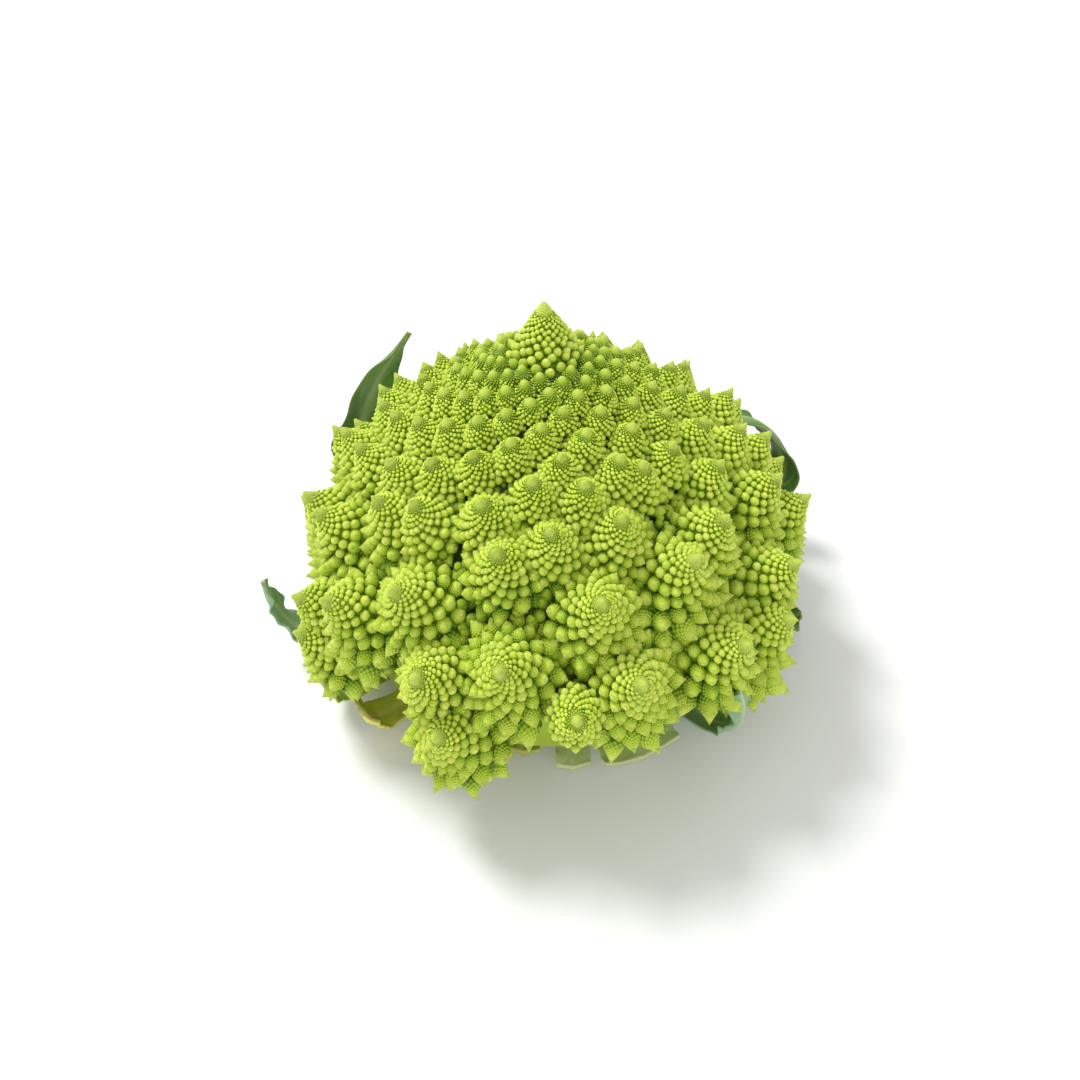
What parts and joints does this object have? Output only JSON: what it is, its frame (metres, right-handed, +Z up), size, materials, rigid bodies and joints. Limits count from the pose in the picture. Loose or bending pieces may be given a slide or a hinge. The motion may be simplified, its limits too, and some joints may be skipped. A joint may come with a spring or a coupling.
{
  "type": "romanesco head",
  "caption": "Trimmed head of romanesco: a yellow-green curd of cone-shaped florets in spirals round a pointed crown, on a cut stalk with the remains of its leaves.",
  "frame": {"origin": "middle of the stalk's flat cut face, on which the head stands", "axes": "+Z up through the crown, -Y the front with the low florets, +X to the right seen from the front"},
  "size_m": [0.1739, 0.157, 0.112],
  "materials": {
    "curd": "fresh curd, yellow-green, softly waxy",
    "stalk": "pale green stalk, matt",
    "leaf": "dark green leaf with a waxy bloom",
    "leaf_stub": "pale green trimmed leaf base"
  },
  "bodies": {
    "root": {"curd": "curd", "stalk": "stalk", "leaf_back_left": "leaf", "leaf_left": "leaf", "stub_left": "leaf_stub", "stub_brown": "leaf_stub", "stub_front_left": "leaf_stub", "stub_front": "leaf", "stub_midrib": "leaf_stub", "stub_front_right": "leaf_stub", "leaf_front_right": "leaf", "leaf_right": "leaf", "leaf_back_right": "leaf", "stub_back_right": "leaf_stub", "stub_back": "leaf_stub", "leaf_back": "leaf"}
  },
  "joints": []
}
